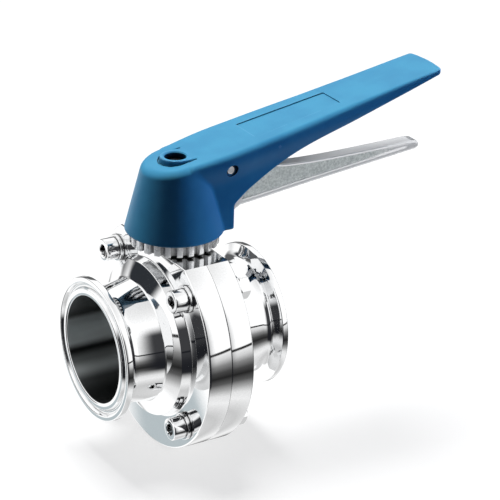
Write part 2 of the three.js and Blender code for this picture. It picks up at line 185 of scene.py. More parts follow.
def with_modifier(obj, kind, **settings):
    """The object with one modifier applied to its mesh."""
    modifier = obj.modifiers.new(kind, kind)
    for key, value in settings.items():
        setattr(modifier, key, value)
    evaluated = obj.evaluated_get(bpy.context.evaluated_depsgraph_get())
    baked = bpy.data.meshes.new_from_object(evaluated)
    obj.modifiers.clear()
    obj.data = baked
    return obj


def combined(operation, obj, tools):
    for tool in tools:
        with_modifier(obj, "BOOLEAN", operation=operation, object=tool, solver="MANIFOLD")
        bpy.data.objects.remove(tool)
    return obj


def cut(obj, *tools):
    return combined("DIFFERENCE", obj, tools)


def join(obj, *tools):
    return combined("UNION", obj, tools)


def moved(obj, matrix):
    obj.data.transform(matrix)
    return obj


def shifted(obj, x=0.0, y=0.0, z=0.0):
    return moved(obj, Matrix.Translation((x, y, z)))


def turned_to(obj, axis, angle):
    return moved(obj, Matrix.Rotation(math.radians(angle), 4, axis))


def rounded(outline, steps=4):
    """A closed outline of (u, v) or (u, v, fillet radius), with its fillets as arcs."""
    points = [Vector(p[:2]) for p in outline]
    result = []
    for i, (corner, given) in enumerate(zip(points, outline)):
        if len(given) < 3:
            result.append(tuple(corner))
            continue
        before = points[i - 1] - corner
        after = points[(i + 1) % len(points)] - corner
        half = before.angle(after) / 2
        reach = min(given[2] / math.tan(half), 0.49 * before.length, 0.49 * after.length)
        radius = reach * math.tan(half)
        bisector = (before.normalized() + after.normalized()).normalized()
        hub = corner + bisector * (radius / math.sin(half))
        start = corner + before.normalized() * reach - hub
        end = corner + after.normalized() * reach - hub
        total = start.angle_signed(end)
        for step in range(steps + 1):
            result.append(tuple(hub + Matrix.Rotation(-total * step / steps, 2) @ start))
    return result


def lathe(name, outline, axis="Z", facets=FINE, angles=None, reshape=None):
    """A closed outline of (radius, height, fillet) turned about an axis. reshape(radii, k) may change the
    radii at the k-th angle."""
    profile = np.array(rounded(outline))
    if angles is None:
        angles = np.arange(facets) * (2 * math.pi / facets)
    rows = []
    for k, angle in enumerate(angles):
        radii = profile[:, 0] if reshape is None else reshape(profile[:, 0], k)
        u, v, h = radii * math.cos(angle), radii * math.sin(angle), profile[:, 1]
        order = {"X": (h, u, v), "Y": (v, h, u), "Z": (u, v, h)}[axis]
        rows.append(np.stack(order, axis=1))
    count, size = len(angles), len(profile)
    faces = []
    for k in range(count):
        here, there = k * size, ((k + 1) % count) * size
        for i in range(size):
            j = (i + 1) % size
            faces.append((here + i, here + j, there + j, there + i))
    return mesh_object(name, np.concatenate(rows), faces)


def prism(name, outline, low, high):
    """An outline of (x, y) extruded from z = low to z = high."""
    count = len(outline)
    vertices = [(x, y, z) for z in (low, high) for x, y in outline]
    faces = [tuple(range(count)), tuple(range(count, 2 * count))]
    faces += [(i, (i + 1) % count, (i + 1) % count + count, i + count) for i in range(count)]
    return mesh_object(name, vertices, faces)


def block(name, x, y, z):
    return prism(name, [(x[0], y[0]), (x[1], y[0]), (x[1], y[1]), (x[0], y[1])], z[0], z[1])


def cylinder(name, radius, low, high, axis="Z"):
    return lathe(name, [(0, low), (radius, low), (radius, high), (0, high)], axis, ROUND)


def hexagon(flats):
    r = flats / math.sqrt(3)
    return [(r * math.cos(i * math.pi / 3), r * math.sin(i * math.pi / 3)) for i in range(6)]


def swept(name, points, radius, sides=14):
    """A round wire along a list of points, with flat ends."""
    path = [Vector(p) for p in points]
    vertices = []
    across = None
    for i, p in enumerate(path):
        along = (path[min(i + 1, len(path) - 1)] - path[max(i - 1, 0)]).normalized()
        across = along.orthogonal() if across is None else across - along * across.dot(along)
        across.normalize()
        other = along.cross(across)
        for k in range(sides):
            a = 2 * math.pi * k / sides
            vertices.append(p + radius * (math.cos(a) * across + math.sin(a) * other))
    faces = []
    for i in range(len(path) - 1):
        for k in range(sides):
            n = (k + 1) % sides
            faces.append((i * sides + k, i * sides + n, (i + 1) * sides + n, (i + 1) * sides + k))
    last = (len(path) - 1) * sides
    faces += [tuple(range(sides)), tuple(range(last, last + sides))]
    return mesh_object(name, vertices, faces)


def placed(obj, node, body, material):
    """Puts a finished piece in place of its CAD node."""
    obj.name = f"{node}_visual"
    obj.data.name = obj.name
    obj.data.transform(TO_ROW)
    obj.data.shade_smooth()
    obj.data.set_sharp_from_angle(angle=SMOOTH_UP_TO)
    obj.data.materials.clear()
    obj.data.materials.append(material)
    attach(obj, body)
    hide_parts(node)
    return obj


# ---------------------------------------------------------------- moulded and cast shapes
# A moulded or cast shape is a signed distance, joined and cut with round fillets, and meshed on its
# zero level. The distance functions take x, y and z as arrays that broadcast together.


def both(a, b, fillet):
    """Inside both shapes, with the edge between them rounded."""
    round_edge = np.hypot(np.maximum(a + fillet, 0), np.maximum(b + fillet, 0))
    return np.minimum(-fillet, np.maximum(a, b)) + round_edge


def either(a, b, fillet):
    return -both(-a, -b, fillet)


def without(a, b, fillet):
    return both(a, -b, fillet)


def flowing(knots, x):
    """A smooth curve through (x, value) knots, straight on beyond its ends."""
    xs, vs = np.array(knots, float).T
    slopes = np.diff(vs) / np.diff(xs)
    tangents = np.concatenate([slopes[:1], (slopes[1:] + slopes[:-1]) / 2, slopes[-1:]])
    i = np.clip(np.searchsorted(xs, x) - 1, 0, len(xs) - 2)
    step = xs[i + 1] - xs[i]
    t = (x - xs[i]) / step
    inner = np.clip(t, 0, 1)
    a, b = inner * inner * (3 - 2 * inner), inner * (inner - 1)
    curve = vs[i] + (vs[i + 1] - vs[i]) * a + step * b * (tangents[i] * (inner - 1) + tangents[i + 1] * inner)
    beyond = np.where(t < 0, t * step * tangents[i], np.where(t > 1, (t - 1) * step * tangents[i + 1], 0))
    return curve + beyond


def outline_distance(outline, u, v):
    """Signed distance to a closed outline of (u, v) points, negative inside."""
    points = np.array(outline, float)
    best = None
    inside = None
    for (au, av), (bu, bv) in zip(points, np.roll(points, -1, axis=0)):
        eu, ev = bu - au, bv - av
        t = np.clip(((u - au) * eu + (v - av) * ev) / (eu * eu + ev * ev), 0, 1)
        square = (u - au - t * eu) ** 2 + (v - av - t * ev) ** 2
        best = square if best is None else np.minimum(best, square)
        rises = (av > v) != (bv > v)
        crosses = rises & (u < eu * (v - av) / (ev if ev else 1e-12) + au)
        inside = crosses if inside is None else inside ^ crosses
    return np.where(inside, -1.0, 1.0) * np.sqrt(best)


def zero_level(name, distance, low, high, cell):
    """A quad mesh of the surface where distance(x, y, z) is zero."""
    axes = [np.arange(a, b + cell, cell) for a, b in zip(low, high)]
    shape = tuple(len(a) for a in axes)
    grid = np.broadcast_to(distance(*np.meshgrid(*axes, indexing="ij", sparse=True)), shape)
    inside = grid < 0
    cells = tuple(n - 1 for n in shape)
    total, hits = np.zeros(cells + (3,)), np.zeros(cells)
    crossings = []
    for axis in range(3):
        a = [slice(None)] * 3
        b = [slice(None)] * 3
        a[axis], b[axis] = slice(0, -1), slice(1, None)
        a, b = tuple(a), tuple(b)
        crossed = inside[a] != inside[b]
        crossings.append((crossed, inside[a]))
        where = np.stack(np.nonzero(crossed), axis=1)
        ga, gb = grid[a][crossed], grid[b][crossed]
        point = where.astype(float)
        point[:, axis] += ga / (ga - gb)
        p, q = [i for i in range(3) if i != axis]
        for dp in (0, 1):
            for dq in (0, 1):
                owner = where.copy()
                owner[:, p] -= dp
                owner[:, q] -= dq
                fits = np.all((owner >= 0) & (owner < np.array(cells)), axis=1)
                index = tuple(owner[fits].T)
                np.add.at(total, index, point[fits])
                np.add.at(hits, index, 1)
    used = hits > 0
    number = np.full(cells, -1)
    number[used] = np.arange(used.sum())
    vertices = np.array(low) + cell * total[used] / hits[used][:, None]
    quads = []
    for axis, (crossed, starts_inside) in enumerate(crossings):
        p, q = [(axis + 1) % 3, (axis + 2) % 3]
        where = np.stack(np.nonzero(crossed), axis=1)
        at_p, at_q = where[:, p], where[:, q]
        where = where[(at_p > 0) & (at_q > 0) & (at_p < cells[p]) & (at_q < cells[q])]
        corners = []
        for dp, dq in ((1, 1), (0, 1), (0, 0), (1, 0)):
            owner = where.copy()
            owner[:, p] -= dp
            owner[:, q] -= dq
            corners.append(number[tuple(owner.T)])
        quad = np.stack(corners, axis=1)
        facing = starts_inside[tuple(where.T)]
        quads.append(np.where(facing[:, None], quad, quad[:, ::-1]))
    vertices = onto_surface(distance, vertices, cell)
    mesh = bpy.data.meshes.new(name)
    mesh.from_pydata(vertices.tolist(), [], np.concatenate(quads).tolist())
    made = bpy.data.objects.new(name, mesh)
    scene.collection.objects.link(made)
    return made


def onto_surface(distance, vertices, cell, rounds=4, probe=0.02):
    """Moves vertices onto the zero level along the distance's gradient."""
    start = vertices.copy()
    for _ in range(rounds):
        x, y, z = vertices.T
        d = distance(x, y, z)
        gradient = np.stack(
            [
                distance(x + probe, y, z) - distance(x - probe, y, z),
                distance(x, y + probe, z) - distance(x, y - probe, z),
                distance(x, y, z + probe) - distance(x, y, z - probe),
            ],
            axis=1,
        ) / (2 * probe)
        step = gradient * (d / np.maximum((gradient**2).sum(axis=1), 0.25))[:, None]
        vertices = start + np.clip(vertices - step - start, -cell, cell)
    return vertices


# ---------------------------------------------------------------- node trees


class Nodes:
    """Adds nodes to a tree. A call returns one output of the new node."""

    def __init__(self, tree):
        self.tree = tree
        tree.nodes.clear()

    def __call__(self, kind, pick=0, settings=None, **inputs):
        node = self.tree.nodes.new("ShaderNode" + kind)
        for key, value in (settings or {}).items():
            setattr(node, key, value)
        for key, value in inputs.items():
            socket = node.inputs[int(key[1:])] if key[0] == "_" else node.inputs[key.replace("_", " ")]
            if isinstance(value, bpy.types.NodeSocket):
                self.tree.links.new(value, socket)
            else:
                socket.default_value = value
        return node.outputs[pick]

    def math(self, operation, a, b=0.0, c=0.0):
        return self("Math", settings={"operation": operation}, _0=a, _1=b, _2=c)

    def parts(self, vector):
        node = self.tree.nodes.new("ShaderNodeSeparateXYZ")
        self.tree.links.new(vector, node.inputs[0])
        return node.outputs[0], node.outputs[1], node.outputs[2]

    def ramp(self, value, stops, kind="LINEAR"):
        """Colours at positions: stops are (position, colour or grey)."""
        node = self.tree.nodes.new("ShaderNodeValToRGB")
        node.color_ramp.interpolation = kind
        elements = node.color_ramp.elements
        while len(elements) < len(stops):
            elements.new(0.5)
        for element, (position, colour) in zip(elements, stops):
            element.position = position
            element.color = (colour, colour, colour, 1) if isinstance(colour, (int, float)) else (*colour, 1)
        self.tree.links.new(value, node.inputs[0])
        return node.outputs[0]

    def range(self, value, low, high, to_low=0.0, to_high=1.0):
        return self(
            "MapRange",
            settings={"interpolation_type": "SMOOTHSTEP"},
            Value=value,
            From_Min=low,
            From_Max=high,
            To_Min=to_low,
            To_Max=to_high,
        )

    def mix(self, share, a, b):
        node = self.tree.nodes.new("ShaderNodeMix")
        node.data_type = "RGBA"
        for socket, value in zip((node.inputs[0], node.inputs[6], node.inputs[7]), (share, a, b)):
            if isinstance(value, bpy.types.NodeSocket):
                self.tree.links.new(value, socket)
            elif isinstance(value, tuple):
                socket.default_value = (*value, 1)
            else:
                socket.default_value = value
        return node.outputs[2]

    def noise(self, vector, scale, detail=3.0, roughness=0.5):
        return self("TexNoise", Vector=vector, Scale=scale, Detail=detail, Roughness=roughness)

    def scaled(self, vector, factors):
        return self("VectorMath", settings={"operation": "MULTIPLY"}, _0=vector, _1=factors)

    def painted_crevice_shade(self, distance, deepest):
        """A share for painted shade: one in the open, down to a share in narrow gaps and inside corners."""
        node = self.tree.nodes.new("ShaderNodeAmbientOcclusion")
        node.samples = 8
        node.inputs["Distance"].default_value = distance * MM
        return self.range(node.outputs["AO"], 0.25, 0.85, deepest, 1.0)

    def shaded(self, colour, share):
        return self.mix(share, (0.0, 0.0, 0.0), colour)

    def bump(self, height, strength, distance, normal=None):
        inputs = {"Height": height, "Strength": strength, "Distance": distance * MM}
        if normal is not None:
            inputs["Normal"] = normal
        return self("Bump", **inputs)


def new_material(name):
    material = bpy.data.materials.new(name)
    material.use_nodes = True
    return material, Nodes(material.node_tree)


def finish_material(make, **inputs):
    shader = make("BsdfPrincipled", **inputs)
    make.tree.links.new(shader, make.tree.nodes.new("ShaderNodeOutputMaterial").inputs[0])


def local_mm(make):
    """The place on the piece at rest, in millimetres from the crossing."""
    place = make("TexCoord", "Object")
    centred = make("VectorMath", settings={"operation": "SUBTRACT"}, _0=place, _1=tuple(CROSSING))
    return make.scaled(centred, (1 / MM, 1 / MM, 1 / MM))


def turned_coordinates(make, place, axis):
    """(along the axis, radius, angle) of a place, for marks left by turning and polishing."""
    x, y, z = make.parts(place)
    along, u, v = {"X": (x, y, z), "Y": (y, z, x), "Z": (z, x, y)}[axis]
    square = make.math("ADD", make.math("MULTIPLY", u, u), make.math("MULTIPLY", v, v))
    radius = make.math("SQRT", square)
    angle = make.math("ARCTAN2", v, u)
    return make("CombineXYZ", X=along, Y=radius, Z=angle)


# (height, brightness) of the painted reflection bands inside the bore, from its bottom at 0 to its top at 1
PAINTED_BORE_REFLECTIONS = [
    (0.00, 0.03),
    (0.06, 0.10),
    (0.13, 0.60),
    (0.20, 0.25),
    (0.28, 0.02),
    (0.36, 0.80),
    (0.47, 1.00),
    (0.56, 0.80),
    (0.63, 0.15),
    (0.75, 0.30),
    (1.00, 0.20),
]
BORE_ROUGHER = 0.5  # how much rougher the bore is than the rest


def steel(name, axis, colour, roughness, lines, smudge=0.04, wave=0.0, painted_crevice_shade=0.35, bore=0.0, metal=1.0):
    """Stainless steel with fine marks round its axis, smudges and a slightly uneven polish, and painted shade
    in narrow gaps and inside corners. It is duller, with long painted reflection bands, inside a bore of the
    given radius."""
    material, make = new_material(name)
    place = local_mm(make)
    turned = turned_coordinates(make, place, axis)
    marks = make.noise(make.scaled(turned, (7.0, 7.0, 2.2)), 1.0, detail=2.0)
    scratches = make.noise(make.scaled(turned, (22.0, 22.0, 5.0)), 1.0, detail=1.0)
    smudges = make.noise(place, 0.09, detail=5.0, roughness=0.6)
    fine = make.noise(place, 1.7, detail=3.0)
    rough = make.math("ADD", make.math("MULTIPLY", make.range(smudges, 0.42, 0.72), smudge), roughness)
    rough = make.math("ADD", rough, make.math("MULTIPLY", make.range(scratches, 0.5, 0.75), 0.5 * smudge))
    tint = make.mix(make.range(fine, 0.3, 0.75), tuple(0.94 * c for c in colour), colour)
    # Inside the bore the steel is rougher, and its colour carries painted reflection bands by height.
    if bore:
        inside = make.range(make.parts(turned)[1], bore + 0.1, bore + 0.02)
        rough = make.math("ADD", rough, make.math("MULTIPLY", inside, BORE_ROUGHER))
        level = make.math("MULTIPLY_ADD", make.parts(place)[2], 0.5 / bore, 0.5)
        bands = make.ramp(level, PAINTED_BORE_REFLECTIONS, "EASE")
        tint = make.mix(inside, tint, make.mix(bands, (0.0, 0.0, 0.0), (0.93, 0.99, 1.0)))
    # Painted shade: the colour darkens in narrow gaps and inside corners.
    tint = make.shaded(tint, make.painted_crevice_shade(2.5, painted_crevice_shade))
    normal = make.bump(marks, lines, 0.012)
    normal = make.bump(make.noise(place, 0.16, detail=1.0), wave, 0.25, normal)
    finish_material(make, Base_Color=tint, Metallic=metal, Roughness=rough, Normal=normal)
    return material


def blue_nylon():
    """Satin moulded nylon: fine grain, slightly uneven colour, and paler edges that are partly rubbed wear
    and partly a painted edge highlight. Painted shade darkens it near inside corners, and the steel shows a
    painted, greyer reflection of it."""
    material, make = new_material("blue_nylon")
    place = local_mm(make)
    cloud = make.noise(place, 0.06, detail=4.0)
    speck = make.noise(place, 2.6, detail=3.0)
    grain = make.noise(place, 5.0, detail=2.0)
    colour = make.mix(make.range(cloud, 0.3, 0.7), (0.056, 0.285, 0.485), (0.070, 0.33, 0.53))
    colour = make.mix(make.range(speck, 0.58, 0.8, 0.0, 0.25), colour, (0.07, 0.39, 0.63))
    # Convex edges turn paler: partly rubbed wear, partly a painted edge highlight.
    edge = make("NewGeometry", "Pointiness")
    wear_and_edge_highlight = make.range(edge, 0.515, 0.56, 0.0, 0.55)
    wear_and_edge_highlight = make.math("MULTIPLY", wear_and_edge_highlight, make.range(speck, 0.3, 0.6, 0.5, 1.0))
    colour = make.mix(wear_and_edge_highlight, colour, (0.20, 0.46, 0.70))
    # Painted shade: the colour darkens near inside corners, up to 14 mm out, almost to black.
    colour = make.shaded(colour, make.painted_crevice_shade(14.0, 0.02))
    # Painted reflection: mirror rays see a greyer colour than camera rays do.
    painted_reflection_ray = make("LightPath", "Is Glossy Ray")
    colour = make.mix(make.math("MULTIPLY", painted_reflection_ray, 0.7), colour, (0.08, 0.12, 0.16))
    rough = make.math("ADD", 0.34, make.math("MULTIPLY", cloud, 0.1))
    normal = make.bump(grain, 0.35, 0.05)
    normal = make.bump(make.noise(place, 0.11, detail=2.0), 0.25, 0.3, normal)
    finish_material(make, Base_Color=colour, Roughness=rough, Normal=normal, Specular_IOR_Level=0.16)
    return material


def cast_steel():
    """The trigger's finish: blasted, mottled sides in the recess and polished edges, with painted shade, down
    to black, in narrow gaps and inside corners.
    """
    material, make = new_material("cast_steel")
    place = local_mm(make)
    side = make.math("ABSOLUTE", make.parts(place)[1])
    facing = make.math("ABSOLUTE", make.parts(make("TexCoord", "Normal"))[1])
    blasted = make.math(
        "MULTIPLY", make.range(side, LEVER_HALF - 0.25, LEVER_HALF - 0.75), make.range(facing, 0.55, 0.8)
    )
    mottle = make.noise(place, 0.9, detail=5.0, roughness=0.7)
    pits = make.noise(place, 2.8, detail=4.0, roughness=0.65)
    grey = make.mix(make.range(mottle, 0.3, 0.7), (0.46, 0.51, 0.51), (0.78, 0.83, 0.82))
    colour = make.mix(blasted, (0.90, 0.91, 0.92), grey)
    # Painted shade: the colour darkens to black in narrow gaps and inside corners.
    colour = make.shaded(colour, make.painted_crevice_shade(2.2, 0.0))
    metal = make.math("MULTIPLY_ADD", blasted, 0.1, 0.35)
    rough = make.math("ADD", make.math("MULTIPLY", blasted, 0.36), make.range(mottle, 0.3, 0.8, 0.10, 0.22))
    coarse = make.math("ADD", make.math("MULTIPLY", blasted, 0.75), 0.04)
    normal = make.bump(make.math("ADD", pits, make.math("MULTIPLY", mottle, 0.8)), coarse, 0.16)
    finish_material(make, Base_Color=colour, Metallic=metal, Roughness=rough, Normal=normal)
    return material


def elastomer(name, colour, roughness):
    """Moulded rubber or plastic: soft mottling, dust in the pores and a dull sheen."""
    material, make = new_material(name)
    place = local_mm(make)
    cloud = make.noise(place, 0.5, detail=4.0)
    pores = make.noise(place, 6.0, detail=3.0)
    tint = make.mix(make.range(cloud, 0.3, 0.7), tuple(0.86 * c for c in colour), colour)
    rough = make.range(pores, 0.3, 0.7, roughness - 0.08, roughness + 0.08)
    finish_material(make, Base_Color=tint, Roughness=rough, Normal=make.bump(pores, 0.3, 0.03))
    return material


BRIGHT = (0.90, 0.905, 0.91)  # polished stainless steel

# The crevice argument is the darkest share of painted shade in a steel's gaps and inside corners.
MIRROR = steel("polished_steel_x", "X", BRIGHT, 0.03, 0.05, smudge=0.035, wave=0.0175, bore=BORE_R)
MIRROR_DISC = steel("polished_steel_y", "Y", BRIGHT, 0.05, 0.08, smudge=0.05, wave=0.0175)
SATIN = steel("satin_steel_z", "Z", (0.86, 0.87, 0.88), 0.22, 0.5, smudge=0.12, painted_crevice_shade=0.1, metal=0.6)
BOLT = steel("bolt_steel_x", "X", BRIGHT, 0.06, 0.2, smudge=0.06, painted_crevice_shade=0.15)
SCREW = steel("screw_steel_z", "Z", (0.82, 0.83, 0.84), 0.14, 0.25, smudge=0.10)
BLACK_SCREW = steel("blackened_steel_z", "Z", (0.05, 0.05, 0.055), 0.35, 0.25, smudge=0.10)
WIRE = steel("spring_wire", "Y", (0.72, 0.73, 0.75), 0.2, 0.4, smudge=0.12)
BLUE = blue_nylon()
CAST = cast_steel()
SILICONE = elastomer("white_silicone", (0.80, 0.79, 0.75), 0.5)
BLACK_RUBBER = elastomer("black_rubber", (0.022, 0.022, 0.024), 0.6)
BEARING = elastomer("bearing_plastic", (0.78, 0.74, 0.62), 0.45)

# ---------------------------------------------------------------- body


def half_outline(side):
    """Radius and place along the pipe of one half, on its side of the seam."""
    taper = math.tan(math.radians(20))
    rim_back = FACE_X - RIM
    neck_top = FERRULE_R - 3.1
    foot = rim_back - (FERRULE_R - neck_top) * taper
    points = [
        (BORE_R, FACE_X, 0.25),
        (GROOVE_R - 1.45, FACE_X, 0.2),
        (GROOVE_R - 0.65, FACE_X - 1.5, 0.6),
        (GROOVE_R + 0.65, FACE_X - 1.5, 0.6),
        (GROOVE_R + 1.45, FACE_X, 0.2),
        (FERRULE_R, FACE_X, 0.5),
        (FERRULE_R, rim_back, 0.45),
        (neck_top, foot),
        (25.9, foot - 1.6, 2.6),
        (25.7, 31.0),
        (27.6, 19.6, 0.35),
        (28.3, 19.1, 0.3),
        (HUB_R, 15.4, 0.5),
        (HUB_R + 0.9, HALF, 0.9),
        (BODY_R, HALF, 0.8),
        (BODY_R, 0.0, 0.3),
        (SEAT_R, 0.0, 0.2),
        (SEAT_R, SEAT_HALF, 0.3),
        (BORE_R, SEAT_HALF, 0.2),
    ]
    return [(p[0], side * p[1], *p[2:]) for p in points]


def flat_cutter(side):
    """Takes off the top of a half down to its flat, and eases the flat's two long edges."""
    reach = 2 * BODY_R
    chamfer = 0.45
    outer = side * HALF
    outline = [
        (-side * 5, TOP_FLAT_Z),
        (outer - side * chamfer, TOP_FLAT_Z),
        (outer + side * chamfer, TOP_FLAT_Z - 2 * chamfer),
        (outer + side * reach, TOP_FLAT_Z - 2 * chamfer),
        (outer + side * reach, reach),
        (-side * 5, reach),
    ]
    slab = prism("slab", outline, -reach, reach)
    return turned_to(slab, "X", 90)


def body_half(side, node):
    half = lathe(node, half_outline(side), "X")
    bolts = [cylinder("hole", SHANK_R["M6"] + 0.3, -FACE_X, FACE_X, "X") for _ in range(4)]
    for i, hole in enumerate(bolts):
        place = centre(f"body_bolt_{i + 1}")
        shifted(hole, 0, place.y, place.z)
    wells = []
    for i in (1, 2):
        place = centre(f"ring_screw_{i}")
        well = cylinder("hole", SHANK_R["M4"] + 0.15, RING_SCREW_BOTTOM, BEYOND)
        wells.append(shifted(well, place.x, place.y))
    bores = [
        cylinder("bore", BUSH_R + 0.15, SEAT_R - 2, BEYOND),
        cylinder("bore", BUSH_R + 0.15, LOWER_BORE_BOTTOM, -SEAT_R + 2),
    ]
    cut(half, flat_cutter(side), *bores, *bolts, *wells)
    return placed(half, node, "valve_body", MIRROR)


def seat():
    bore = BORE_R - 0.1
    ring = lathe(
        "seat",
        [
            (bore, -SEAT_HALF + 0.1, 0.5),
            (bore, SEAT_HALF - 0.1, 0.5),
            (SEAT_R - 0.25, SEAT_HALF - 0.1, 0.5),
            (SEAT_R - 0.25, -SEAT_HALF + 0.1, 0.5),
        ],
        "X",
    )
    cut(ring, cylinder("bore", STEM_R + STEM_PLAY, -BEYOND, BEYOND))
    placed(ring, "seat_seal", "valve_body", SILICONE)


def stem_fittings():
    for word in ("upper", "lower"):
        low, high = span(f"stem_bush_{word}")
        inner = STEM_R + STEM_PLAY
        bush = lathe(
            "bush",
            [(inner, low.z, 0.3), (BUSH_R, low.z, 0.4), (BUSH_R, high.z, 0.4), (inner, high.z, 0.3)],
            facets=ROUND,
        )
        placed(bush, f"stem_bush_{word}", "valve_body", BEARING)
        low, high = span(f"stem_ring_{word}")
        cord = (high.z - low.z) / 2
        middle_r, z = STEM_R + 0.1 + cord, (low.z + high.z) / 2
        angles = np.arange(20) * math.pi / 10
        circle = [(middle_r + cord * math.cos(a), z + cord * math.sin(a)) for a in angles]
        ring = lathe("cord", circle, facets=ROUND)
        placed(ring, f"stem_ring_{word}", "valve_body", BLACK_RUBBER)


# ---------------------------------------------------------------- fasteners


def threaded_rod(name, radius, low, high, thread_from, pitch):
    """A shank from low up to high, threaded from its low end up to thread_from."""
    sides, rows_per_turn = 40, 8
    heights = np.arange(low, high + 1e-6, pitch / rows_per_turn)
    turns = np.arange(sides) / sides
    depth = 0.58 * pitch
    vertices, faces = [], []
    for z in heights:
        phase = (z / pitch - turns) % 1.0
        ridge = np.clip(np.abs(2 * phase - 1) * 1.25 - 0.12, 0, 1)
        fade = np.clip((thread_from - z) / pitch, 0, 1)
        r = radius - depth * ridge * fade - max(0.0, low + 0.7 * pitch - z)
        angles = 2 * math.pi * turns
        vertices += [(a, b, z) for a, b in zip(r * np.cos(angles), r * np.sin(angles))]
    for j in range(len(heights) - 1):
        for k in range(sides):
            n = (k + 1) % sides
            faces.append((j * sides + k, j * sides + n, (j + 1) * sides + n, (j + 1) * sides + k))
    last = (len(heights) - 1) * sides
    faces += [tuple(range(sides)), tuple(range(last, last + sides))]
    return mesh_object(name, vertices, faces)


def cap_screw(size, length, threaded):
    """Along +Z, with the underside of the head at z = 0."""
    r, height, socket = HEAD_R[size], HEAD_HEIGHT[size], SOCKET[size]
    head = lathe("head", [(0, 0), (r, 0, 0.3), (r, height, 0.12 * r), (0, height)], facets=ROUND)
    corner = socket / math.sqrt(3)
    mouth = lathe(
        "mouth",
        [(0, height - 0.5), (corner - 0.3, height - 0.35), (corner + 0.25, height + 0.2), (0, height + 0.2)],
        facets=ROUND,
    )
    shank = threaded_rod("shank", SHANK_R[size], -length, 0.2, threaded - length, PITCH[size])
    join(head, shank)
    return cut(head, prism("socket", hexagon(socket), 0.25 * height, height + 1), mouth)


def washer(node, body, axis, material):
    low, high = span(node)
    axis_index = "XYZ".index(axis)
    across = (axis_index + 1) % 3
    outer = (high[across] - low[across]) / 2
    hole = 0.53 * outer
    z0, z1 = low[axis_index], high[axis_index]
    outline = [(hole, z0, 0.1), (outer, z0, 0.25), (outer, z1, 0.25), (hole, z1, 0.1)]
    ring = lathe("washer", outline, axis, ROUND)
    place = centre(node)
    place[axis_index] = 0
    shifted(ring, *place)
    placed(ring, node, body, material)


def nut(node):
    low, high = span(node)
    place = centre(node)
    thick = high.x - low.x
    flats = min(high.y - low.y, high.z - low.z)
    corner = flats / math.sqrt(3)
    ease = corner - flats / 2
    hole_r = 3.05
    mouth_r = 3.7
    blank = turned_to(prism("nut", hexagon(flats), 0, thick), "Z", 30)
    envelope = lathe(
        "envelope",
        [
            (0, 0),
            (flats / 2 - 0.1, 0),
            (corner + 0.1, ease * 0.75),
            (corner + 0.1, thick - ease * 0.75),
            (flats / 2 - 0.1, thick),
            (0, thick),
        ],
        facets=ROUND,
    )
    combined("INTERSECT", blank, [envelope])
    hole = lathe(
        "hole",
        [
            (0, -0.1),
            (mouth_r, -0.1),
            (hole_r, 0.6),
            (hole_r, thick - 0.6),
            (mouth_r, thick + 0.1),
            (0, thick + 0.1),
        ],
        facets=ROUND,
    )
    cut(blank, hole)
    moved(blank, Matrix.Rotation(math.radians(90), 4, "Y"))
    shifted(blank, low.x, place.y, place.z)
    placed(blank, node, "valve_body", BOLT)


def body_fasteners():
    for i in range(1, 5):
        node = f"body_bolt_{i}"
        low, high = span(node)
        place = centre(node)
        head_back = low.x + HEAD_HEIGHT["M6"]
        bolt = cap_screw("M6", high.x - head_back, BOLT_THREAD)
        turned_to(bolt, "Z", BOLT_TURN * i)
        moved(bolt, Matrix.Rotation(math.radians(-90), 4, "Y"))
        shifted(bolt, head_back, place.y, place.z)
        placed(bolt, node, "valve_body", BOLT)
        washer(f"bolt_washer_{i}", "valve_body", "X", BOLT)
        washer(f"nut_washer_{i}", "valve_body", "X", BOLT)
        nut(f"body_nut_{i}")


def upright_screw(node, body, size, material):
    low, high = span(node)
    place = centre(node)
    under_head = high.z - HEAD_HEIGHT[size]
    screw = cap_screw(size, under_head - low.z, 0.8 * (under_head - low.z))
    shifted(screw, place.x, place.y, under_head)
    placed(screw, node, body, material)


# ---------------------------------------------------------------- index ring


def index_ring():
    """Teeth with slightly drawn walls: the outline's outer part sinks to the root at each notch."""
    pitch = 2 * math.pi / TEETH
    edge = math.radians(3.6)
    wall = math.radians(0.35)
    shares = [(-3.0, 0.0), (-1.2, 0.03), (-0.6, 0.2), (0.6, 0.8), (1.2, 0.97), (3.0, 1.0)]
    column = [(0.0, 0.0)] + [(edge + k * wall, share) for k, share in shares]
    column += [(pitch - angle, share) for angle, share in reversed(column[1:])]
    angles = [i * pitch + angle for i in range(TEETH) for angle, _ in column]
    share_at = [share for _ in range(TEETH) for _, share in column]

    def reshape(radii, k):
        return np.where(radii > RING_ROOT_R, RING_ROOT_R + share_at[k] * (radii - RING_ROOT_R), radii)

    top, bottom = RING_HIGH.z, RING_LOW.z
    outline = [
        (STEM_R + 1, bottom, 0.4),
        (RING_ROOT_R - 1.4, bottom, 0.3),
        (RING_ROOT_R - 0.1, TEETH_BOTTOM, 0.3),
        (RING_R, TEETH_BOTTOM, 0.7),
        (RING_R, top, 0.7),
        (STEM_R + 1, top, 0.4),
    ]
    ring = lathe("ring", outline, angles=angles, reshape=reshape)
    for i in (1, 2):
        place = centre(f"ring_screw_{i}")
        head_bottom = top - HEAD_HEIGHT["M4"] - 0.2
        through = cylinder("well", SHANK_R["M4"] + 0.2, bottom - 1, top + 1)
        sunk = cylinder("well", HEAD_R["M4"] + 0.2, head_bottom, top + 1)
        cut(ring, shifted(through, place.x, place.y), shifted(sunk, place.x, place.y))
    placed(ring, "index_ring", "valve_body", SATIN)


# ---------------------------------------------------------------- disc with its stem


